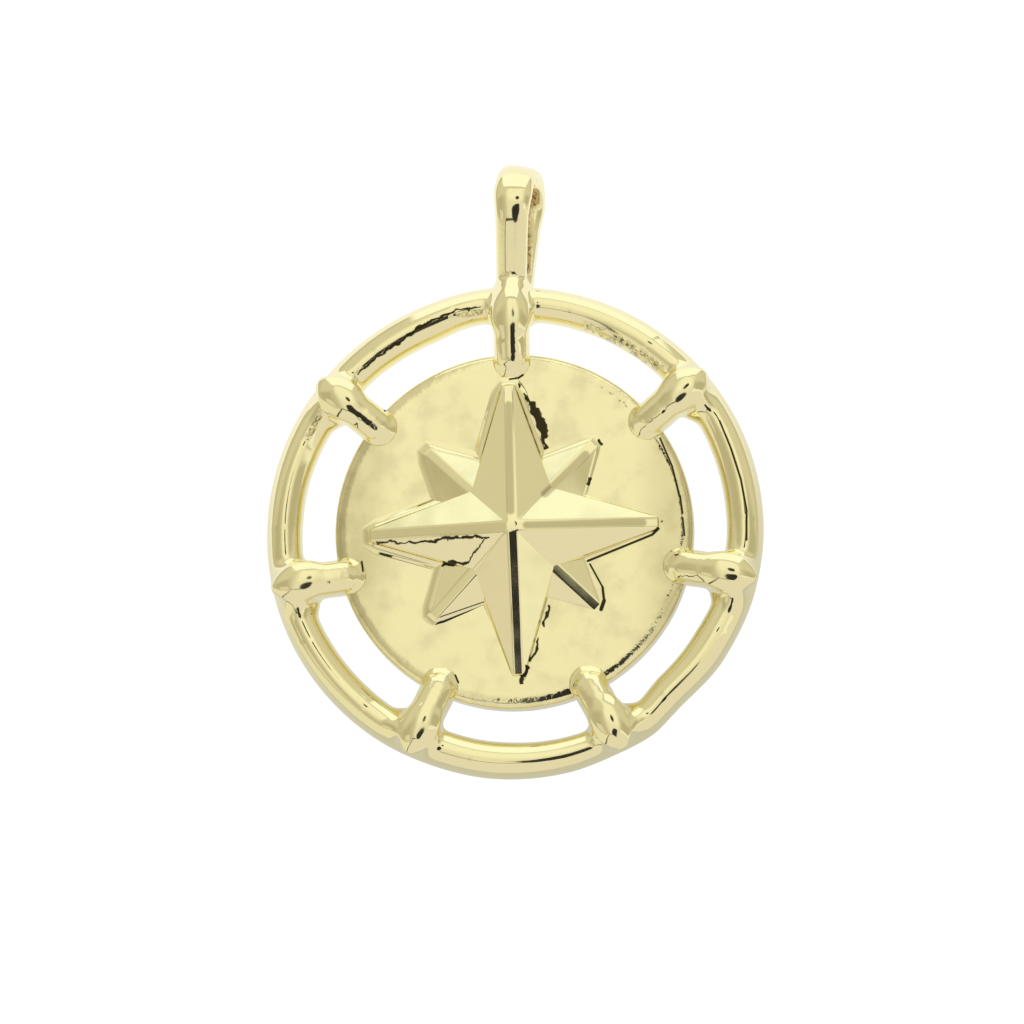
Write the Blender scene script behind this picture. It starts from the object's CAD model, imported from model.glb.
import math

import bmesh
import bpy
from mathutils import Matrix, Vector


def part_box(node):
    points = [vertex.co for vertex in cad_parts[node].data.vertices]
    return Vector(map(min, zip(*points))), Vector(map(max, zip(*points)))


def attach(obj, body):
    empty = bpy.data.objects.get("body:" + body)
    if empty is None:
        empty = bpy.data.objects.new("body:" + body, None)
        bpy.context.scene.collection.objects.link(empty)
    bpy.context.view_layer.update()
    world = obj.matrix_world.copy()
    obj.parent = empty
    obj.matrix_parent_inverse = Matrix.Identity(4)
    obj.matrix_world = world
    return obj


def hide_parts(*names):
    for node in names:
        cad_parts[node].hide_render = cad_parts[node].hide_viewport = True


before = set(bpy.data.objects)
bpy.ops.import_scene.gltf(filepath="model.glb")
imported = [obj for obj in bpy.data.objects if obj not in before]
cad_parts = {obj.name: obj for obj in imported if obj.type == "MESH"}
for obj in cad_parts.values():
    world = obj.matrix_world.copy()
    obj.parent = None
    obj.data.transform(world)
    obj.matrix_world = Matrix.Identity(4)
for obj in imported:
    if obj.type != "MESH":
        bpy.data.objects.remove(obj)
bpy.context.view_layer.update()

# The ring is a hoop of round wire, cast in brass with everything else and plated pale gold.
# It has taken a knock at the lower right, and filing has left its inner side a little uneven.
# Sizes from here on are in millimetres about the ring's middle, with the face upwards.
charm_low, charm_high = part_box("charm")
ring_r = (charm_high[0] - charm_low[0]) * 1000 / 2
wire_r = 0.75
ring_mid_r = ring_r - wire_r

# Where the ring departs from an even hoop: degrees round it, outer edge moved, inner edge moved
ring_wear = [
    (50, -0.02, 0.05), (72, -0.02, 0.08), (100, 0.02, 0.08), (113, -0.02, -0.08), (145, -0.03, -0.05),
    (170, -0.02, 0.03), (205, 0.0, 0.06), (235, 0.0, 0.04), (250, -0.03, -0.06), (266, 0.0, 0.0),
    (281, -0.02, 0.05), (294, -0.09, 0.07), (303, -0.06, 0.03), (314, -0.25, -0.21),
    (328, -0.11, -0.17), (346, -0.03, -0.03), (360, 0.0, 0.0), (410, -0.02, 0.05),
]


def on_ring(r, degrees, z):
    angle = math.radians(degrees)
    return Vector((r * math.cos(angle), r * math.sin(angle), z))


def wear_at(degrees):
    """How far the outer and the inner edge are moved at this angle, eased between the rows."""
    degrees = degrees % 360
    if degrees < ring_wear[0][0]:
        degrees += 360
    for (a, outer_a, inner_a), (b, outer_b, inner_b) in zip(ring_wear, ring_wear[1:]):
        if a <= degrees <= b:
            step = (1 - math.cos(math.pi * (degrees - a) / (b - a))) / 2
            return outer_a + (outer_b - outer_a) * step, inner_a + (inner_b - inner_a) * step


def spun_bar(bend_r, bar_r, start, sweep, steps, square=1.0):
    """A bar bent along an arc about Z, with closed ends. The lower square is, the less round it is."""
    bar = bmesh.new()
    bmesh.ops.create_circle(bar, segments=40, radius=1)
    bmesh.ops.rotate(bar, verts=bar.verts, matrix=Matrix.Rotation(math.radians(90), 3, "X"))
    full = sweep == 360
    bmesh.ops.translate(bar, verts=bar.verts, vec=(bend_r, 0, 0))
    bmesh.ops.spin(
        bar, geom=bar.verts[:] + bar.edges[:], axis=(0, 0, 1), cent=(0, 0, 0),
        angle=math.radians(sweep), steps=steps, use_merge=full,
    )
    for v in bar.verts:
        turn = math.degrees(math.atan2(v.co.y, v.co.x)) % 360
        middle = on_ring(bend_r, turn, 0)
        outward = middle.normalized()
        out = (v.co - middle).dot(outward)
        out = math.copysign(abs(out) ** square, out)
        up = math.copysign(abs(v.co.z) ** square, v.co.z)
        v.co = middle + (outward * out + Vector((0, 0, up))) * bar_r
    if not full:
        ends = [e for e in bar.edges if e.is_boundary]
        bmesh.ops.holes_fill(bar, edges=ends, sides=0)
    bmesh.ops.rotate(bar, verts=bar.verts, matrix=Matrix.Rotation(math.radians(start), 3, "Z"))
    return bar


def keep(shape, parts):
    """Merges a shape's doubled points, turns its faces outwards and adds its mesh to the parts."""
    bmesh.ops.remove_doubles(shape, verts=shape.verts, dist=1e-5)
    bmesh.ops.recalc_face_normals(shape, faces=shape.faces)
    mesh = bpy.data.meshes.new("part")
    shape.to_mesh(mesh)
    shape.free()
    parts.append(mesh)


casting_parts = []
ring = spun_bar(ring_mid_r, wire_r, 0, 360, 288)
for v in ring.verts:
    turn = math.degrees(math.atan2(v.co.y, v.co.x))
    middle = on_ring(ring_mid_r, turn, 0)
    outward = middle.normalized()
    outer_move, inner_move = wear_at(turn)
    across = (v.co - middle).dot(outward) / wire_r
    v.co += outward * (outer_move * (1 + across) / 2 + inner_move * (1 - across) / 2)
keep(ring, casting_parts)

# The medallion is a flat disc with a rounded rim. Polishing has rolled the edge of its face off a
# little. Its back is plain and lies level with the back of the ring.
medallion_r = 7.2
medallion_t = 1.2
face_z = 0.45
rim_round = 0.26
roll_start = 6.66
roll_fall = 0.35
face_steps = (3.0, 6.0, roll_start, 6.73, 6.79, 6.84, 6.89)


def face_height(r):
    return face_z - roll_fall * max(r - roll_start, 0) ** 2


# Its outline runs from the middle of the face, round the rim, to the middle of the back.
rim_mid_r = medallion_r - rim_round
back_z = face_z - medallion_t
outline = [Vector((0, 0, face_z))]
outline += [Vector((r, 0, face_height(r))) for r in face_steps]
for z, first in ((face_height(rim_mid_r) - rim_round, 75), (back_z + rim_round, 0)):
    for lean in range(first, first - 90, -15):
        outward = Vector((math.cos(math.radians(lean)), 0, math.sin(math.radians(lean))))
        outline.append(Vector((rim_mid_r, 0, z)) + rim_round * outward)
outline += [Vector((r, 0, back_z)) for r in (rim_mid_r, 0)]
medallion = bmesh.new()
profile = [medallion.verts.new(point) for point in outline]
profile += [medallion.edges.new(pair) for pair in zip(profile, profile[1:])]
bmesh.ops.spin(
    medallion, geom=profile, axis=(0, 0, 1), cent=(0, 0, 0), angle=math.radians(360), steps=256,
    use_merge=True,
)
bmesh.ops.remove_doubles(medallion, verts=medallion.verts, dist=1e-5)
bmesh.ops.recalc_face_normals(medallion, faces=medallion.faces)

# Seven claws hold the medallion inside the ring, cast in one with both. Each is a slightly squared bar
# that stands highest on a knuckle over the wire and comes down to a round tip, with a low foot round
# it on the medallion's face. Small webs fill the corners between a claw and the ring.
claw_turn = 90.6
claw_step = 360 / 7
# For each claw, from the top leftwards: its tip's turn in degrees, the web before it, the web after it
claws = [
    (0.0, 0.9, 0.9), (0.0, 0.9, 1.5), (1.5, 1.1, 1.5), (-0.2, 1.5, 1.0),
    (-0.8, 1.0, 1.5), (-0.5, 1.6, 0.9), (0.0, 1.5, 0.9),
]
claw_r = 0.73
claw_square = 0.82
claw_rise = 0.5
claw_drop = 0.34
claw_overlap = 1.0
tip_r = 0.7
tip_foot_r = 0.8
tip_foot_h = 0.18
tip_mid_r = medallion_r - claw_overlap + tip_r
claw_run = ring_mid_r - tip_mid_r
claw_bend_r = (claw_run ** 2 + claw_drop ** 2) / (2 * claw_drop)
claw_sweep = math.degrees(math.asin(claw_run / claw_bend_r))
knuckle_long = 1.3
knuckle_wide = 0.86
knuckle_h = 0.5
knuckle_top = 1.25
knuckle_mid_r = ring_mid_r - 0.55
shoulder_mid_r = ring_mid_r - 0.1
shoulder_r = 0.62
shoulder_z = 0.48
outer_foot_mid_r = ring_mid_r + 0.2
outer_web_r = 0.6
outer_foot_r = 0.55
web_r = 0.62
web_end_r = 0.6
web_end_z = 0.1
inner_corner_mid_r = ring_mid_r - 0.9
inner_corner_z = 0.1
inner_web_r = 0.5


def ball(radius, middle, stretch=(1, 1, 1), turn=0):
    """A ball, stretched along X, Y and Z and then turned about Z."""
    shape = bmesh.new()
    bmesh.ops.create_uvsphere(shape, u_segments=32, v_segments=20, radius=radius)
    bmesh.ops.scale(shape, verts=shape.verts, vec=stretch)
    bmesh.ops.rotate(shape, verts=shape.verts, matrix=Matrix.Rotation(math.radians(turn), 3, "Z"))
    bmesh.ops.translate(shape, verts=shape.verts, vec=middle)
    return shape


def straight_bar(start, end, start_r, end_r):
    """A tapered round bar from one point to another."""
    shape = bmesh.new()
    reach = end - start
    bmesh.ops.create_cone(
        shape, cap_ends=True, segments=32, radius1=start_r, radius2=end_r, depth=reach.length
    )
    turn = reach.to_track_quat("Z", "Y").to_matrix()
    bmesh.ops.rotate(shape, verts=shape.verts, matrix=turn)
    bmesh.ops.translate(shape, verts=shape.verts, vec=(start + end) / 2)
    return shape


for i, (lean, web_before, web_after) in enumerate(claws):
    root_turn = claw_turn + i * claw_step
    lean_at_ring = math.degrees(math.asin(tip_mid_r * math.sin(math.radians(lean)) / claw_run))
    root = on_ring(ring_mid_r, root_turn, claw_rise)
    inward = root_turn + 180 - lean_at_ring
    arm = spun_bar(claw_bend_r, claw_r, 90 - claw_sweep, claw_sweep, 12, square=claw_square)
    bmesh.ops.rotate(arm, verts=arm.verts, matrix=Matrix.Rotation(math.radians(90), 3, "X"))
    bmesh.ops.translate(arm, verts=arm.verts, vec=(0, 0, -claw_bend_r))
    bmesh.ops.rotate(arm, verts=arm.verts, matrix=Matrix.Rotation(math.radians(inward), 3, "Z"))
    bmesh.ops.translate(arm, verts=arm.verts, vec=root)
    keep(arm, casting_parts)
    tip = root + on_ring(claw_run, inward, -claw_drop)
    keep(ball(tip_r, tip), casting_parts)
    tip_foot = Vector((tip.x, tip.y, face_z))
    keep(ball(1, tip_foot, (tip_foot_r, tip_foot_r, tip_foot_h)), casting_parts)
    knuckle = on_ring(knuckle_mid_r, root_turn, knuckle_top - knuckle_h)
    keep(ball(1, knuckle, (knuckle_long, knuckle_wide, knuckle_h), root_turn), casting_parts)
    shoulder = on_ring(shoulder_mid_r, root_turn, shoulder_z)
    outer_foot = on_ring(outer_foot_mid_r, root_turn, 0)
    keep(straight_bar(shoulder, outer_foot, outer_web_r, outer_foot_r), casting_parts)
    keep(ball(shoulder_r, shoulder), casting_parts)
    inner_corner = on_ring(inner_corner_mid_r, root_turn, inner_corner_z)
    for reach in (-web_before, web_after):
        web_turn = root_turn + math.degrees(reach / ring_mid_r)
        web_end = on_ring(ring_mid_r, web_turn, web_end_z)
        keep(straight_bar(shoulder, web_end, web_r, web_end_r), casting_parts)
        side_foot = on_ring(shoulder_mid_r, web_turn, 0)
        keep(straight_bar(inner_corner, side_foot, inner_web_r, inner_web_r), casting_parts)

# The bail is a fixed loop standing across the charm, for a chain to pass through. Cast with the
# ring, it is a pear shape from the side, leans and turns a little, and is slimmer at its foot.
bail_h = 5.0
bail_r = 1.65
strap_t = 0.75
strap_w = 1.6
waist_w = 1.36
foot_w = 1.25
waist_y = ring_r + 2.5
foot_y = ring_r + 0.2
foot_round = 0.35
bulge_r = 3.0
bulge_start = 5
front_slope = 20
back_slope = 6
# The strap is a flat bar with rounded edges, and its outer side falls a little to the right.
strap_square = 0.8
strap_slant = 0.12
bail_turn = 7.5
bail_lean = 4.5
bail_y = ring_r + bail_h - bail_r
bail_x = -0.07
widest_y = bail_y + 0.4
throat_y = foot_y + 0.1
throat_size = (0.48, 0.75, 0.75)


def strap_depth(y, slope):
    """How far one side's middle line stands out from the middle of the bail, at this height."""
    top_r = bail_r - strap_t / 2
    bulge_y = bail_y - top_r * math.sin(math.radians(bulge_start))
    if y > bulge_y:
        return math.sqrt(max(top_r ** 2 - (y - bail_y) ** 2, 0))
    depth = top_r * math.cos(math.radians(bulge_start))
    lean = math.asin(min((bulge_y - y) / bulge_r + math.sin(math.radians(bulge_start)), 1))
    lean = min(lean, math.radians(slope))
    depth -= bulge_r * (math.cos(math.radians(bulge_start)) - math.cos(lean))
    straight_y = bulge_y - bulge_r * (math.sin(math.radians(slope)) - math.sin(math.radians(bulge_start)))
    if y < straight_y:
        depth -= (straight_y - max(y, foot_y)) * math.tan(math.radians(slope))
    return depth * math.sqrt(max(1 - (max(foot_y - y, 0) / foot_round) ** 2, 0))


def strap_width(y):
    """The strap widens evenly from its foot to its waist, and then more up to the top of the loop."""
    if y < waist_y:
        return foot_w + (waist_w - foot_w) * max((y - foot_y) / (waist_y - foot_y), 0)
    share = min((y - waist_y) / (widest_y - waist_y), 1)
    return waist_w + (strap_w - waist_w) * (3 - 2 * share) * share ** 2


strap_top = bail_y + bail_r - strap_t / 2
strap_half_h = (strap_top - foot_y + foot_round) / 2


def strap_middle(turn):
    """Height and depth of the strap's middle line, from the top down the front or, below 0, the back."""
    y = strap_top - strap_half_h * (1 - math.cos(turn))
    return Vector((y, strap_depth(y, front_slope) if turn > 0 else -strap_depth(y, back_slope)))


# The strap starts as an even hoop of bar, whose each point is then moved to its place round the loop.
blank_mid_r = 2.0
blank_bar_r = 0.5
small_turn = 0.02
bail = spun_bar(blank_mid_r, blank_bar_r, 0, 360, 200, square=strap_square)
for v in bail.verts:
    turn = math.atan2(v.co.y, v.co.x)
    outward = (v.co.xy.length - blank_mid_r) / blank_bar_r
    sideways = v.co.z / blank_bar_r
    along = (strap_middle(turn + small_turn) - strap_middle(turn - small_turn)).normalized()
    middle = strap_middle(turn)
    half_w = strap_width(middle.x) / 2
    lift = strap_t / 2 * outward
    if turn > 0:
        lift -= strap_slant * half_w * sideways * outward
    point = middle + Vector((along.y, -along.x)) * lift
    v.co = Vector((half_w * sideways, point.x, point.y))
to_lean = Matrix.Rotation(math.radians(-bail_lean), 3, "Z")
to_turn = Matrix.Rotation(math.radians(-bail_turn), 3, "Y")
foot = Vector((0, ring_r, 0))
# The throat fills the bottom of the loop, under the eye.
throat = ball(1, Vector((0, throat_y, 0)), throat_size)
for shape in (bail, throat):
    bmesh.ops.rotate(shape, cent=foot, verts=shape.verts, matrix=to_lean @ to_turn)
    bmesh.ops.translate(shape, verts=shape.verts, vec=(bail_x, 0, 0))
    keep(shape, casting_parts)

# The neck is a short thick bar, cast in one with the top claw, the ring and the bail. It carries the
# claw on over the ring, down to a crease at the foot of the bail, with a slimmer stem inside.
neck_start_r = 0.88
neck_start_z = 0.3
neck_end_r = 0.8
neck_end_y = ring_r - 0.22
neck_end_z = 0.12
stem_start_r = 0.7
stem_end_r = 0.55
neck_start = on_ring(ring_mid_r, claw_turn, neck_start_z)
neck_end = Vector((bail_x, neck_end_y, neck_end_z))
keep(straight_bar(neck_start, neck_end, neck_start_r, neck_end_r), casting_parts)
keep(ball(neck_end_r, neck_end), casting_parts)
stem_start = Vector((0, ring_mid_r, 0))
stem_end = Vector((bail_x, foot_y, 0))
keep(straight_bar(stem_start, stem_end, stem_start_r, stem_end_r), casting_parts)

# The parts above left the mould as one piece, so they are run together here into one skin whose
# joints are softened as a casting's are. The star keeps a finer skin of its own.
casting_grain = 0.08
casting_rounds = 3
joint_rounds = 10
joint_near_r = medallion_r + 0.4
joint_far_r = ring_r - 0.1
joint_low_z = -0.6
joint_reach = 2.4

# It lies on the lowest edge of the ring and the back of the bail, both worn flat there. The turn is
# that of the bail in the CAD solid, so that the two lie alike.
bail_edge_w = 0.25
worn_ring = 0.03
worn_bail = 0.06
solid_turn = 4.0
ring_low = wire_r - worn_ring
bail_low = bail_r * math.cos(math.radians(solid_turn)) - worn_bail
bail_low += (strap_w / 2 - bail_edge_w) * math.sin(math.radians(solid_turn))
bail_reach = (bail_y - ring_r) * math.cos(math.radians(bail_lean))
bail_reach += (strap_w / 2 - bail_edge_w) * math.sin(math.radians(bail_lean))
lie_tilt = math.asin((bail_low - ring_low) / (bail_y + ring_mid_r))
lie_lift = ring_mid_r * math.sin(lie_tilt) + ring_low
lie_middle = ((ring_r + bail_reach - ring_mid_r) * math.cos(lie_tilt) + bail_r - wire_r) / 2
laid_down = (
    Matrix.Scale(0.001, 4)
    @ Matrix.Translation((0, -lie_middle, lie_lift))
    @ Matrix.Rotation(lie_tilt, 4, "X")
)


def cast_together(name, parts, grain):
    """Fuses closed meshes into one skin of even, small faces and returns it for finishing."""
    joined = bmesh.new()
    for mesh in parts:
        joined.from_mesh(mesh)
        bpy.data.meshes.remove(mesh)
    mesh = bpy.data.meshes.new(name)
    joined.to_mesh(mesh)
    joined.free()
    rough = bpy.data.objects.new(name + "_rough", mesh)
    bpy.context.scene.collection.objects.link(rough)
    remesh = rough.modifiers.new("skin", "REMESH")
    remesh.mode = "VOXEL"
    remesh.voxel_size = grain
    remesh.adaptivity = 0
    remeshed = rough.evaluated_get(bpy.context.evaluated_depsgraph_get())
    shape = bmesh.new()
    shape.from_mesh(remeshed.to_mesh())
    remeshed.to_mesh_clear()
    bpy.data.objects.remove(rough)
    bpy.data.meshes.remove(mesh)
    return shape


def soften(shape, verts, rounds):
    """Evens out these points of a shape, as polishing does, the more rounds the softer."""
    for _ in range(rounds):
        bmesh.ops.smooth_vert(
            shape, verts=verts, factor=0.5, use_axis_x=True, use_axis_y=True, use_axis_z=True
        )


def finish_piece(name, shape, material):
    """Lays the finished shape down in metres, worn flat where it rests, and hands it to the frame."""
    bmesh.ops.transform(shape, matrix=laid_down, verts=shape.verts)
    for v in shape.verts:
        v.co.z = max(v.co.z, 0)
    bmesh.ops.recalc_face_normals(shape, faces=shape.faces)
    mesh = bpy.data.meshes.new(name)
    shape.to_mesh(mesh)
    shape.free()
    mesh.materials.append(material)
    mesh.shade_smooth()
    piece = bpy.data.objects.new(name, mesh)
    bpy.context.scene.collection.objects.link(piece)
    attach(piece, "root")
    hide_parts("charm")
    return piece


# Pale gold plate over cast brass, polished to a mirror with a faint haze and a slow swell, and rough as
# cast inside the bail and in spots along the ring. It also carries the photo's nearly black spots and
# lines, of which the ragged ones are taken as tarnish and the smooth ones are probably reflections.
gold_tint = (0.95, 0.88, 0.55)
clouded_tint = (0.83, 0.76, 0.48)
rim_tint = (0.66, 0.59, 0.35)
dull_tint = (0.56, 0.50, 0.30)
cast_tint = (0.72, 0.52, 0.22)
pit_tint = (0.16, 0.11, 0.05)
dark_tint = (0.05, 0.04, 0.02)
# How much rougher the cast and the dark places are, and how high each unevenness stands
cast_roughness = 0.25
dark_roughness = 0.3
swell_h = 0.022
cast_h = 0.2
rim_grain_h = 0.004
gold = bpy.data.materials.new("pale_gold")
gold.use_nodes = True
gold_nodes = gold.node_tree
gold_shader = gold_nodes.nodes["Principled BSDF"]
gold_shader.inputs["Metallic"].default_value = 1.0


def math_node(tree, operation, first, second=0.0):
    """A math node on two values, each a number or another node's output."""
    node = tree.nodes.new("ShaderNodeMath")
    node.operation = operation
    for socket, value in zip(node.inputs, (first, second)):
        if isinstance(value, (int, float)):
            socket.default_value = value
        else:
            tree.links.new(value, socket)
    return node.outputs[0]


def step_node(tree, value, low, high, at_low=0.0, at_high=1.0):
    """Goes smoothly from one number to another as the value goes from low to high."""
    node = tree.nodes.new("ShaderNodeMapRange")
    node.interpolation_type = "SMOOTHSTEP"
    tree.links.new(value, node.inputs["Value"])
    node.inputs["From Min"].default_value = low
    node.inputs["From Max"].default_value = high
    node.inputs["To Min"].default_value = at_low
    node.inputs["To Max"].default_value = at_high
    return node.outputs["Result"]


def blend_node(tree, share, under, over):
    """Lays one colour over another by the given share."""
    node = tree.nodes.new("ShaderNodeMix")
    node.data_type = "RGBA"
    tree.links.new(share, node.inputs["Factor"])
    for socket, value in ((node.inputs[6], under), (node.inputs[7], over)):
        if isinstance(value, tuple):
            socket.default_value = (*value, 1)
        else:
            tree.links.new(value, socket)
    return node.outputs[2]


def placed_node(tree, vector, location, rotation, scale):
    """Reads a place as it is seen from a frame with this location, rotation and scale."""
    node = tree.nodes.new("ShaderNodeMapping")
    node.vector_type = "TEXTURE"
    tree.links.new(vector, node.inputs["Vector"])
    node.inputs["Location"].default_value = location
    node.inputs["Rotation"].default_value = rotation
    node.inputs["Scale"].default_value = (scale, scale, scale)
    return node.outputs["Vector"]


def vector_node(tree, operation, first, second=(0, 0, 0), scale=None):
    """A vector math node on two vectors, each given or another node's output."""
    node = tree.nodes.new("ShaderNodeVectorMath")
    node.operation = operation
    for socket, value in zip(node.inputs, (first, second)):
        if isinstance(value, tuple):
            socket.default_value = value
        else:
            tree.links.new(value, socket)
    if operation == "SCALE":
        tree.links.new(scale, node.inputs["Scale"])
    return node.outputs["Value"] if operation in ("DOT_PRODUCT", "LENGTH") else node.outputs["Vector"]


def noise_node(tree, place, scale, detail):
    """Soft random patches; the higher the scale, the smaller they are."""
    node = tree.nodes.new("ShaderNodeTexNoise")
    tree.links.new(place, node.inputs["Vector"])
    node.inputs["Scale"].default_value = scale
    node.inputs["Detail"].default_value = detail
    return node


def both_node(tree, *shares):
    """The product of several shares."""
    result = shares[0]
    for share in shares[1:]:
        result = math_node(tree, "MULTIPLY", result, share)
    return result


own_place = gold_nodes.nodes.new("ShaderNodeTexCoord").outputs["Object"]
place = placed_node(gold_nodes, own_place, laid_down.translation, (lie_tilt, 0, 0), 0.001)
apart = gold_nodes.nodes.new("ShaderNodeSeparateXYZ")
gold_nodes.links.new(place, apart.inputs["Vector"])
flat_place = vector_node(gold_nodes, "MULTIPLY", place, (1, 1, 0))
from_middle = vector_node(gold_nodes, "LENGTH", flat_place)
round_turn = math_node(gold_nodes, "ARCTAN2", apart.outputs["Y"], apart.outputs["X"])

# The inside of the bail is left as it came from the mould. It is the part of the loop between its
# front and back straps, measured up from the foot.
eye_turn = tuple((to_lean @ to_turn).to_euler())
eye_place = placed_node(gold_nodes, place, foot + Vector((bail_x, 0, 0)), eye_turn, 1)
eye_apart = gold_nodes.nodes.new("ShaderNodeSeparateXYZ")
gold_nodes.links.new(eye_place, eye_apart.inputs["Vector"])
eye_x, eye_y, eye_z = eye_apart.outputs
eye_aside = math_node(gold_nodes, "ABSOLUTE", eye_x)
eye_depth = math_node(gold_nodes, "ABSOLUTE", eye_z)
eye_behind = step_node(gold_nodes, eye_z, 0.05, -0.05)
eye_front = math_node(gold_nodes, "MINIMUM", math_node(gold_nodes, "MULTIPLY", eye_y, 0.3), 0.92)
eye_back = math_node(gold_nodes, "ADD", math_node(gold_nodes, "MULTIPLY", eye_y, 0.06), 0.75)
eye_back = math_node(gold_nodes, "MULTIPLY", eye_back, eye_behind)
eye_limit = math_node(gold_nodes, "MAXIMUM", eye_front, eye_back)
eye_share = both_node(
    gold_nodes,
    step_node(gold_nodes, math_node(gold_nodes, "SUBTRACT", eye_limit, eye_depth), 0.0, 0.1),
    step_node(gold_nodes, eye_y, 0.6, 0.9),
    step_node(gold_nodes, eye_y, 4.25, 4.15),
    step_node(gold_nodes, eye_aside, 0.66, 0.58),
)

# Cast roughness along the ring: from and to in degrees round it, and from and to in millimetres out
# from the middle
rough_runs = [
    (46, 72, 8.45, 8.95), (96, 107, 8.85, 9.15), (132, 137, 8.85, 9.1), (147, 156, 8.95, 9.25),
]
run_fade = 3
run_edge = 0.12
grain = noise_node(gold_nodes, place, 3.2, 4.0).outputs["Fac"]
pitted = noise_node(gold_nodes, place, 7.0, 3.0).outputs["Fac"]
rough_share = eye_share
for start, end, nearest_r, farthest_r in rough_runs:
    run = both_node(
        gold_nodes,
        step_node(gold_nodes, round_turn, math.radians(start), math.radians(start + run_fade)),
        step_node(gold_nodes, round_turn, math.radians(end), math.radians(end - run_fade)),
        step_node(gold_nodes, from_middle, farthest_r, farthest_r - run_edge),
        step_node(gold_nodes, from_middle, nearest_r, nearest_r + run_edge),
        step_node(gold_nodes, apart.outputs["Z"], 0.15, 0.4),
        step_node(gold_nodes, grain, 0.44, 0.56),
    )
    rough_share = math_node(gold_nodes, "MAXIMUM", rough_share, run)

# Dark spots and lines with ragged edges, beside the star and along the ring, taken as tarnish: from x
# and y, to x and y, and half the width, in millimetres
stains = [
    (0.22, 5.92, 0.26, 5.84, 0.05), (0.46, 5.5, 0.62, 5.2, 0.05), (0.72, 5.12, 0.8, 5.0, 0.12),
    (0.88, 4.85, 1.12, 4.2, 0.18), (1.12, 4.2, 1.24, 3.8, 0.13), (1.22, 3.75, 1.29, 3.3, 0.05),
    (-5.5, -0.5, -3.7, -0.55, 0.03), (-3.7, -0.55, -2.15, -0.4, 0.045), (-2.15, -0.4, -0.95, -0.42, 0.04),
    (-1.04, -0.46, -1.75, -1.3, 0.025), (-1.8, -1.35, -2.8, -1.4, 0.055), (1.4, -3.12, 1.22, -3.85, 0.05),
    (1.0, -4.4, 0.74, -5.3, 0.045), (0.55, -5.5, 0.32, -6.15, 0.05), (3.46, 3.62, 3.54, 3.43, 0.06),
    (3.04, 2.05, 3.01, 1.82, 0.06), (5.95, 0.3, 5.97, 0.3, 0.02), (-1.5, 9.1, -2.35, 8.9, 0.03),
    (-2.35, 8.9, -3.25, 8.57, 0.045), (-3.25, 8.57, -4.15, 8.03, 0.06), (-4.15, 8.03, -5.05, 7.4, 0.05),
    (-5.05, 7.4, -5.83, 6.81, 0.045), (-5.83, 6.81, -6.25, 6.45, 0.03),
]
# Smooth dark lines at the foot of the star, by the claws' tips, and at the right of the medallion and the
# ring, given the same way. They are painted where the photo shows them, though most follow the form as
# a reflection does and are probably no marks on the metal.
smooth_lines = [
    (2.97, -1.29, 5.55, -0.26, 0.04), (5.55, -0.26, 5.8, -0.02, 0.045), (3.06, -1.42, 3.56, -2.35, 0.03),
    (3.56, -2.35, 3.62, -2.9, 0.045), (3.62, -2.9, 3.5, -3.25, 0.07), (-0.15, 6.13, 0.16, 6.17, 0.03),
    (0.16, 6.17, 0.38, 6.31, 0.03), (-6.1, -1.2, -6.04, -1.6, 0.03), (-5.16, 5.14, -5.18, 4.9, 0.03),
    (-2.33, -5.84, -2.21, -6.13, 0.03), (5.88, 3.66, 6.35, 2.53, 0.03), (6.35, 2.53, 6.65, 1.29, 0.035),
    (6.67, 1.29, 6.76, 0.6, 0.035), (6.77, 0.4, 6.84, -0.3, 0.03), (8.28, 4.28, 8.73, 3.14, 0.03),
    (8.73, 3.14, 9.12, 1.88, 0.035), (9.12, 1.88, 9.34, 0.63, 0.035), (9.34, 0.63, 9.33, -0.56, 0.035),
]
# Ridges that look dull in the photo, given the same way
dull_ridges = [(-0.16, 5.0, -0.03, 0.6, 0.12), (0.6, 0.02, 5.2, 0.18, 0.11), (1.3, 1.35, 2.9, 3.0, 0.12)]


def lines_node(tree, place, lines, edge):
    """How much of this place the nearest of these lines covers."""
    share = 0.0
    for x0, y0, x1, y1, half_w in lines:
        reach = Vector((x1 - x0, y1 - y0, 0))
        from_start = vector_node(tree, "SUBTRACT", place, (x0, y0, 0))
        if reach.length:
            along_line = vector_node(tree, "DOT_PRODUCT", from_start, tuple(reach / reach.length_squared))
            along_line = math_node(tree, "MINIMUM", math_node(tree, "MAXIMUM", along_line, 0.0), 1.0)
            nearest = vector_node(tree, "SCALE", tuple(reach), scale=along_line)
            from_start = vector_node(tree, "SUBTRACT", from_start, nearest)
        away = vector_node(tree, "LENGTH", from_start)
        share = math_node(tree, "MAXIMUM", share, step_node(tree, away, half_w + edge, half_w - edge / 3))
    return share


wander = noise_node(gold_nodes, place, 2.6, 3.0).outputs["Color"]
wander = vector_node(gold_nodes, "SUBTRACT", wander, (0.5, 0.5, 0.5))
wander = vector_node(gold_nodes, "MULTIPLY", wander, (0.4, 0.4, 0))
ragged_place = vector_node(gold_nodes, "ADD", flat_place, wander)
spot_share = lines_node(gold_nodes, ragged_place, stains, 0.03)
line_share = lines_node(gold_nodes, flat_place, smooth_lines, 0.025)
dark_share = math_node(gold_nodes, "MAXIMUM", spot_share, line_share)
front_share = step_node(gold_nodes, apart.outputs["Z"], 0.1, 0.25)
stain_share = math_node(gold_nodes, "MULTIPLY", dark_share, front_share)
dull_share = both_node(gold_nodes, lines_node(gold_nodes, flat_place, dull_ridges, 0.1), front_share)

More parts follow.
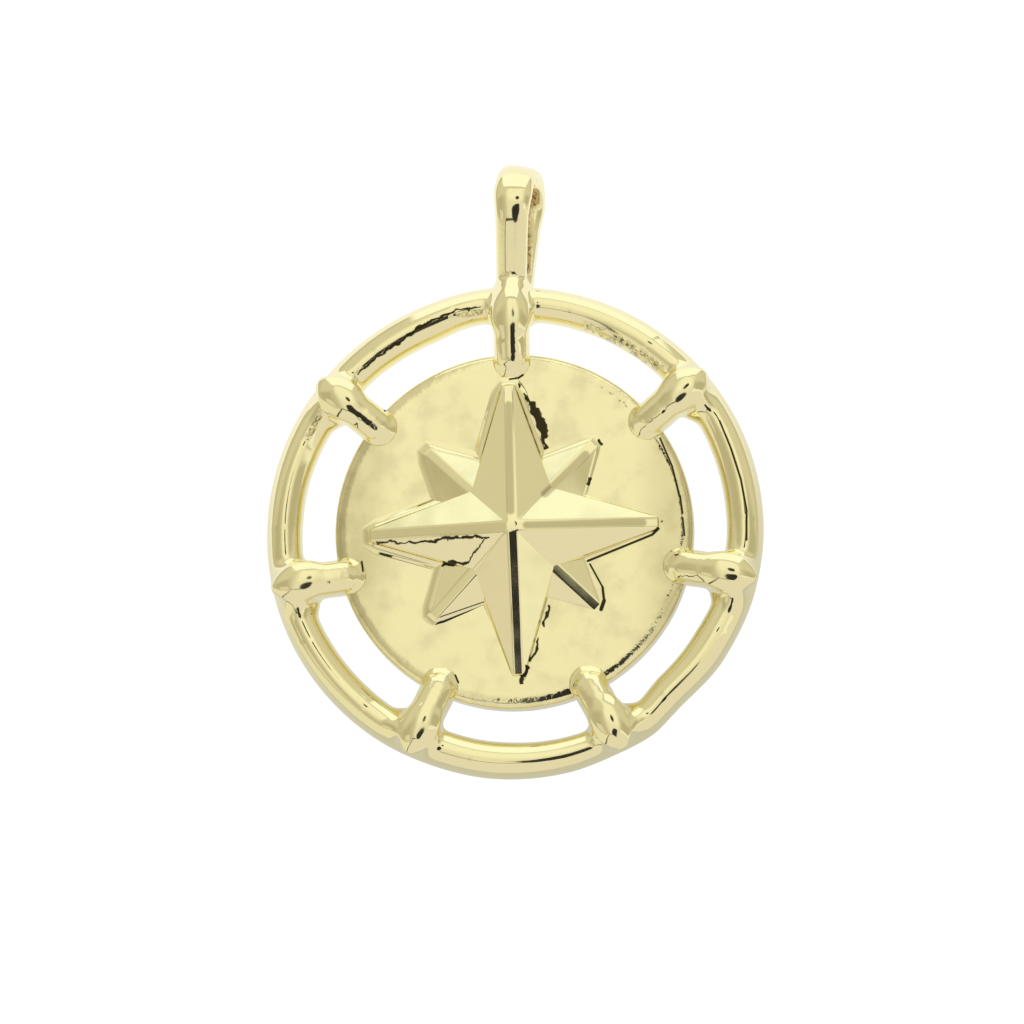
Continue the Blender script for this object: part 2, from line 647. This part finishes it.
# The cast places are pitted. The medallion's face is clouded in soft patches, and is a shade darker
# towards its two sides.
pits = both_node(gold_nodes, rough_share, step_node(gold_nodes, pitted, 0.48, 0.4))
pit_share = math_node(gold_nodes, "MULTIPLY", pits, 0.85)
clouds = noise_node(gold_nodes, place, 0.8, 5.0).outputs["Fac"]
on_medallion = step_node(gold_nodes, from_middle, medallion_r + 0.1, medallion_r - 0.1)
below_star = step_node(gold_nodes, apart.outputs["Z"], face_z + 0.04, face_z + 0.02)
on_face = both_node(gold_nodes, on_medallion, below_star)
cloud_share = both_node(gold_nodes, on_face, step_node(gold_nodes, clouds, 0.45, 0.68))
rim_share = step_node(gold_nodes, math_node(gold_nodes, "ABSOLUTE", apart.outputs["X"]), 4.6, 6.4)
rim_share = both_node(gold_nodes, on_face, rim_share, step_node(gold_nodes, clouds, 0.3, 0.6, 0.5, 0.9))
gold_colour = blend_node(gold_nodes, cloud_share, gold_tint, clouded_tint)
gold_colour = blend_node(gold_nodes, rim_share, gold_colour, rim_tint)
gold_colour = blend_node(gold_nodes, dull_share, gold_colour, dull_tint)
gold_colour = blend_node(gold_nodes, eye_share, gold_colour, cast_tint)
gold_colour = blend_node(gold_nodes, pit_share, gold_colour, pit_tint)
gold_colour = blend_node(gold_nodes, stain_share, gold_colour, dark_tint)
gold_nodes.links.new(gold_colour, gold_shader.inputs["Base Color"])
hazy = noise_node(gold_nodes, place, 0.55, 3.0).outputs["Fac"]
haze = step_node(gold_nodes, hazy, 0.4, 0.7, 0.05, 0.12)
cast_extra = math_node(gold_nodes, "MULTIPLY", rough_share, cast_roughness)
stain_extra = math_node(gold_nodes, "MULTIPLY", stain_share, dark_roughness)
roughness = math_node(gold_nodes, "ADD", math_node(gold_nodes, "ADD", haze, cast_extra), stain_extra)
gold_nodes.links.new(roughness, gold_shader.inputs["Roughness"])

# Height in millimetres: the slow swell of the polish, the cast roughness, and a faint roughness
# towards the medallion's edge
slow = noise_node(gold_nodes, place, 0.42, 1.0).outputs["Fac"]
swell = math_node(gold_nodes, "MULTIPLY", slow, swell_h)
cast_rough = both_node(gold_nodes, rough_share, math_node(gold_nodes, "MULTIPLY", pitted, cast_h))
near_rim = step_node(gold_nodes, from_middle, 6.5, 6.8)
rim_grain = step_node(gold_nodes, grain, 0.3, 0.7, 0.0, rim_grain_h)
rim_rough = both_node(gold_nodes, on_medallion, near_rim, rim_grain)
height = math_node(gold_nodes, "ADD", math_node(gold_nodes, "ADD", swell, cast_rough), rim_rough)
bump = gold_nodes.nodes.new("ShaderNodeBump")
bump.inputs["Strength"].default_value = 1.0
bump.inputs["Distance"].default_value = 0.001
gold_nodes.links.new(height, bump.inputs["Height"])
gold_nodes.links.new(bump.outputs["Normal"], gold_shader.inputs["Normal"])

casting = cast_together("casting", casting_parts, casting_grain)
soften(casting, casting.verts, casting_rounds)
joints = []
for v in casting.verts:
    turn = math.degrees(math.atan2(v.co.y, v.co.x))
    from_claw = (turn - claw_turn + claw_step / 2) % claw_step - claw_step / 2
    beside_claw = abs(math.radians(from_claw)) * v.co.xy.length
    between = joint_near_r < v.co.xy.length < joint_far_r
    if between and beside_claw < joint_reach and v.co.z > joint_low_z:
        joints.append(v)
soften(casting, joints, joint_rounds)
finish_piece("casting", casting, gold)
finish_piece("medallion", medallion, gold)

# The star is cast relief on the medallion, plated with the rest: four long rays over four shorter ones,
# each with two flat facets, a narrow flat along its ridge and a rounded tip. Its steep sides run out
# onto the face in a small hollow foot.
star_turn = 2.0
star_tilt_x = 1.0
star_tilt_y = 1.2
star_sink = 0.3
ridge_half_w = 0.2
ridge_round = 0.07
edge_round = 0.03
# Each step of the star's sides: how far it goes outwards, and its height above the face at its end
side_steps = [(0.03, 0.12), (0.06, 0.055), (0.09, 0.02), (0.12, 0.0), (0.1, -0.008)]
least_fall = 0.002
# Where a ray's rounded tip bends: how far back from its end and how far out, in half widths of the tip
tip_bends = [(0.42, 1.0), (1.4, 1.3)]


def rays(reaches, tip_half_w, peak_h, corner_r, corner_h, tip_h, turn):
    """The sloping facets of four rays with rounded tips round the middle, open below."""
    shape = bmesh.new()
    peak = shape.verts.new((0, 0, face_z + peak_h))
    corners = [shape.verts.new(on_ring(corner_r, turn + 45 + 90 * i, face_z + corner_h)) for i in range(4)]
    for i, reach in enumerate(reaches):
        tip = shape.verts.new(on_ring(reach, turn + 90 * i, face_z + tip_h))
        for side, corner in ((1, corners[i]), (-1, corners[i - 1])):
            slope = (tip.co - peak.co).cross(corner.co - peak.co)
            facet = [peak, tip]
            for back, out in tip_bends:
                end = on_ring(reach - back * tip_half_w, turn + 90 * i, 0)
                end += on_ring(out * tip_half_w, turn + 90 * (i + side), 0)
                end.z = peak.co.z - slope.xy.dot(end.xy) / slope.z
                facet.append(shape.verts.new(end))
            facet.append(corner)
            shape.faces.new(facet if side > 0 else facet[::-1])
    return shape


def outward_moves(shape):
    """The sideways move of each vertex on the open edge that carries its two sides out by one."""
    sides = {}
    for edge in shape.edges:
        if edge.is_boundary:
            along = (edge.verts[1].co - edge.verts[0].co).xy.normalized()
            out = Vector((along.y, -along.x))
            inside = edge.link_faces[0].calc_center_median() - edge.verts[0].co
            if out.dot(inside.xy) > 0:
                out.negate()
            for v in edge.verts:
                sides.setdefault(v, []).append(out)
    return {tuple(v.co): (a + b) / (1 + a.dot(b)) for v, (a, b) in sides.items()}


def carry_down(shape, moves, spread, to_z):
    """Extrudes the open edge outwards and down, and returns the moves of its new vertices."""
    made = bmesh.ops.extrude_edge_only(shape, edges=[e for e in shape.edges if e.is_boundary])
    moved = {}
    for v in made["geom"]:
        if isinstance(v, bmesh.types.BMVert):
            move = moves[tuple(v.co)]
            lower_z = min(v.co.z - least_fall, to_z)
            v.co = Vector((v.co.x + move.x * spread, v.co.y + move.y * spread, lower_z))
            moved[tuple(v.co)] = move
    return moved


def bent_edges(shape, least):
    """The edges whose two faces meet at more than this angle in degrees."""
    shape.normal_update()
    return [e for e in shape.edges if len(e.link_faces) == 2 and e.calc_face_angle() > math.radians(least)]


star_layers = []
long_rays = rays(
    (5.87, 5.9, 5.8, 5.95), tip_half_w=0.24, peak_h=1.25, corner_r=2.25, corner_h=0.47, tip_h=0.38,
    turn=star_turn,
)
short_rays = rays(
    (4.78, 4.78, 4.78, 4.78), tip_half_w=0.2, peak_h=0.86, corner_r=2.45, corner_h=0.03, tip_h=0.16,
    turn=star_turn + 45,
)
for layer in (long_rays, short_rays):
    ridges = [e for e in bent_edges(layer, 3) if e.is_convex]
    bmesh.ops.bevel(
        layer, geom=ridges, offset=ridge_half_w, segments=1, profile=0.5, material=-1, affect="EDGES"
    )
    bmesh.ops.bevel(
        layer, geom=bent_edges(layer, 4), offset=ridge_round, segments=4, profile=0.5, material=-1,
        affect="EDGES",
    )
    brink = [e for e in layer.edges if e.is_boundary]
    moves = outward_moves(layer)
    for spread, height in side_steps:
        moves = carry_down(layer, moves, spread, face_z + height)
    skirt = [e for e in layer.edges if e.is_boundary]
    carry_down(layer, moves, 0.0, face_z - star_sink)
    for e in skirt:
        e.smooth = False
    bmesh.ops.holes_fill(layer, edges=[e for e in layer.edges if e.is_boundary], sides=0)
    bmesh.ops.bevel(
        layer, geom=brink, offset=edge_round, segments=2, profile=0.5, material=-1, affect="EDGES"
    )
    keep(layer, star_layers)
star = bmesh.new()
for mesh in star_layers:
    star.from_mesh(mesh)
    bpy.data.meshes.remove(mesh)
for tilt, axis in ((star_tilt_x, "X"), (star_tilt_y, "Y")):
    turned = Matrix.Rotation(math.radians(tilt), 3, axis)
    bmesh.ops.rotate(star, cent=(0, 0, face_z), verts=star.verts, matrix=turned)
star_piece = finish_piece("star", star, gold)
even = star_piece.modifiers.new("even", "WEIGHTED_NORMAL")
even.mode = "FACE_AREA"
even.weight = 50
even.keep_sharp = True

# The table that the charm lies on is plain white, and is seen as pure white all round it. What the
# charm's sides reflect of it is duller, most so towards the charm's foot, where less light reaches it.
floor_mesh = bpy.data.meshes.new("table")
table = bmesh.new()
bmesh.ops.create_grid(table, x_segments=1, y_segments=1, size=1.0)
table.to_mesh(floor_mesh)
table.free()
floor = bpy.data.objects.new("table", floor_mesh)
bpy.context.scene.collection.objects.link(floor)
white = bpy.data.materials.new("white_table")
white.use_nodes = True
white_nodes = white.node_tree
white_nodes.nodes.remove(white_nodes.nodes["Principled BSDF"])
glow = white_nodes.nodes.new("ShaderNodeEmission")
seen = white_nodes.nodes.new("ShaderNodeLightPath")
table_place = white_nodes.nodes.new("ShaderNodeTexCoord").outputs["Object"]
lit_side = vector_node(white_nodes, "DOT_PRODUCT", table_place, (-0.25, 1, 0))
table_light = step_node(white_nodes, lit_side, -0.016, 0.012, 0.6, 1.0)
seen_light = math_node(white_nodes, "MULTIPLY", seen.outputs["Is Camera Ray"], 1.05)
table_light = math_node(white_nodes, "MAXIMUM", table_light, seen_light)
white_nodes.links.new(table_light, glow.inputs["Strength"])
white_nodes.links.new(glow.outputs["Emission"], white_nodes.nodes["Material Output"].inputs["Surface"])
floor_mesh.materials.append(white)

# The light is a tent of white and grey cloths: a pale ceiling, a bright wall beyond the charm's top,
# darker walls at its two sides and a warmer one before it, with thin dark gaps between the cloths.
# The lens looks in through a round gap that is longer towards the charm's foot, with a small one beyond.
world = bpy.data.worlds.new("tent")
bpy.context.scene.world = world
world.use_nodes = True
tent = world.node_tree
background = tent.nodes["Background"]
# Leans are in degrees from straight up, to the charm's right and towards its top.
direction = tent.nodes.new("ShaderNodeTexCoord").outputs["Generated"]
split = tent.nodes.new("ShaderNodeSeparateXYZ")
tent.links.new(placed_node(tent, direction, (0, 0, 0), (lie_tilt, 0, 0), 1), split.inputs["Vector"])
across, along, above = split.outputs
upward = math_node(tent, "MAXIMUM", above, 0.02)
nearward = math_node(tent, "MAXIMUM", math_node(tent, "MULTIPLY", along, -1), 0.02)
farward = math_node(tent, "MAXIMUM", along, 0.02)
lean_x = math_node(tent, "MULTIPLY", math_node(tent, "ARCTAN2", across, upward), 180 / math.pi)
lean_y = math_node(tent, "MULTIPLY", math_node(tent, "ARCTAN2", along, upward), 180 / math.pi)
slope_x = math_node(tent, "DIVIDE", across, upward)
slope_y = math_node(tent, "DIVIDE", along, upward)
side_lean = math_node(tent, "ABSOLUTE", math_node(tent, "SUBTRACT", lean_x, 3.5))

ceiling_colour = (0.97, 0.95, 0.79)
ceiling_near_colour = (0.84, 0.82, 0.68)
side_colour = (0.60, 0.57, 0.45)
side_dark_colour = (0.51, 0.48, 0.35)
side_high_colour = (0.69, 0.66, 0.53)
side_low_colour = (0.58, 0.55, 0.44)
far_colour = (1.06, 1.10, 1.02)
near_colour = (0.81, 0.77, 0.71)
near_side_colour = (0.84, 0.81, 0.67)
band_colour = (0.95, 0.94, 0.82)
panel_colour = (0.76, 0.71, 0.62)
gap_colour = (0.03, 0.03, 0.03)
sides = blend_node(tent, step_node(tent, side_lean, 20, 38), side_colour, side_dark_colour)
sides = blend_node(tent, step_node(tent, lean_y, 12, 28), sides, side_high_colour)
sides = blend_node(tent, step_node(tent, side_lean, 55, 85), sides, side_low_colour)
ceiling = blend_node(tent, step_node(tent, lean_y, -2, 15), ceiling_near_colour, ceiling_colour)
ceiling_share = both_node(
    tent, step_node(tent, lean_x, -19, -7), step_node(tent, lean_x, 34, 14), step_node(tent, lean_y, 43, 38)
)
cloths = blend_node(tent, ceiling_share, sides, ceiling)

# The far wall stands beyond the charm's top, between the two side walls.
far_side = math_node(tent, "SUBTRACT", math_node(tent, "DIVIDE", across, farward), 0.04)
far_sector = step_node(tent, math_node(tent, "ABSOLUTE", far_side), 0.54, 0.5)
far_foot = math_node(tent, "ABSOLUTE", math_node(tent, "SUBTRACT", lean_y, 44.5))
far_share = math_node(tent, "MULTIPLY", far_sector, step_node(tent, lean_y, 44.2, 45.0))
cloths = blend_node(tent, far_share, cloths, far_colour)
far_gap = both_node(tent, far_sector, step_node(tent, far_foot, 1.0, 0.4, 0.0, 0.5))
cloths = blend_node(tent, far_gap, cloths, gap_colour)

# A small panel hangs at the left, a little below the lens.
panel_share = both_node(
    tent, step_node(tent, lean_y, -8, -10), step_node(tent, lean_y, -24, -20),
    step_node(tent, math_node(tent, "ABSOLUTE", math_node(tent, "ADD", lean_x, 39)), 12, 8),
)
cloths = blend_node(tent, panel_share, cloths, panel_colour)

# The near wall hangs low to the left of the lens and higher to the right, where a bright band shows
# above it. Its left and upper left edges are dark.
cloths = blend_node(tent, step_node(tent, lean_y, -18, -34), cloths, near_side_colour)
right_top = math_node(tent, "SUBTRACT", math_node(tent, "MULTIPLY", slope_x, -0.2575), 0.064)
right_share = step_node(tent, lean_x, 3, 14)
left_top = math_node(tent, "MULTIPLY", math_node(tent, "SUBTRACT", 1, right_share), -0.385)
wall_top = math_node(tent, "ADD", math_node(tent, "MULTIPLY", right_top, right_share), left_top)
under_top = math_node(tent, "MULTIPLY", math_node(tent, "SUBTRACT", wall_top, slope_y), 50)
near_side = math_node(tent, "DIVIDE", across, nearward)
inside_left = math_node(tent, "MULTIPLY", math_node(tent, "ADD", near_side, 0.8), 25)
band_share = math_node(
    tent, "SUBTRACT", step_node(tent, under_top, -9.5, -5), step_node(tent, under_top, -0.5, 0.5)
)
band_share = math_node(tent, "MULTIPLY", band_share, step_node(tent, lean_x, 20, 30))
cloths = blend_node(tent, band_share, cloths, band_colour)
inside = math_node(tent, "MINIMUM", under_top, inside_left)
near_gap = math_node(tent, "SUBTRACT", step_node(tent, inside, -1.5, -0.5), step_node(tent, inside, 1, 2))
near_gap = math_node(tent, "MULTIPLY", near_gap, step_node(tent, lean_x, 8, 0))
cloths = blend_node(tent, step_node(tent, inside, 0.0, 1.0), cloths, near_colour)
cloths = blend_node(tent, near_gap, cloths, gap_colour)


def gap(cloths, x, y, x_reach, y_reach):
    """A round gap in the cloths about the direction that leans x and y degrees."""
    dx = math_node(tent, "DIVIDE", math_node(tent, "SUBTRACT", lean_x, x), x_reach)
    dy = math_node(tent, "DIVIDE", math_node(tent, "SUBTRACT", lean_y, y), y_reach)
    squared = math_node(tent, "ADD", math_node(tent, "MULTIPLY", dx, dx), math_node(tent, "MULTIPLY", dy, dy))
    return blend_node(tent, step_node(tent, squared, 0.9, 1.1), gap_colour, cloths)


cloths = gap(cloths, 4.5, -9.8, 9.4, 9.4)
cloths = gap(cloths, 4.5, -15.0, 9.0, 10.5)
cloths = gap(cloths, 4.5, 12.0, 3.5, 4.6)
tent.links.new(cloths, background.inputs["Color"])

# The camera looks at the charm from ten degrees off its face, towards the charm's foot, and from so
# far away that the picture has hardly any perspective.
camera_lean_x = 4.5
camera_lean_y = -9.7
picture_w = 41.04
distance = 250.0
picture_up = 0.8
picture_left = 0.1
sensor_w = 36
look_x = math.sin(math.radians(camera_lean_x))
look_y = math.sin(math.radians(camera_lean_y))
look = Vector((look_x, look_y, math.sqrt(1 - look_x ** 2 - look_y ** 2)))
side = Vector((0, 1, 0)).cross(look).normalized()
upright = look.cross(side)
middle = upright * picture_up - side * picture_left
view = Matrix((side, upright, look)).transposed().to_4x4()
view.translation = middle + look * distance
camera_data = bpy.data.cameras.new("camera")
camera_data.sensor_width = sensor_w
camera_data.lens = sensor_w * distance / picture_w
camera_data.clip_start = 0.01
camera = bpy.data.objects.new("camera", camera_data)
bpy.context.scene.collection.objects.link(camera)
lie_turn = Matrix.Rotation(lie_tilt, 4, "X")
camera.matrix_world = Matrix.Translation(laid_down @ view.translation) @ (lie_turn @ view).to_3x3().to_4x4()
bpy.context.scene.camera = camera
bpy.context.scene.view_settings.view_transform = "Standard"
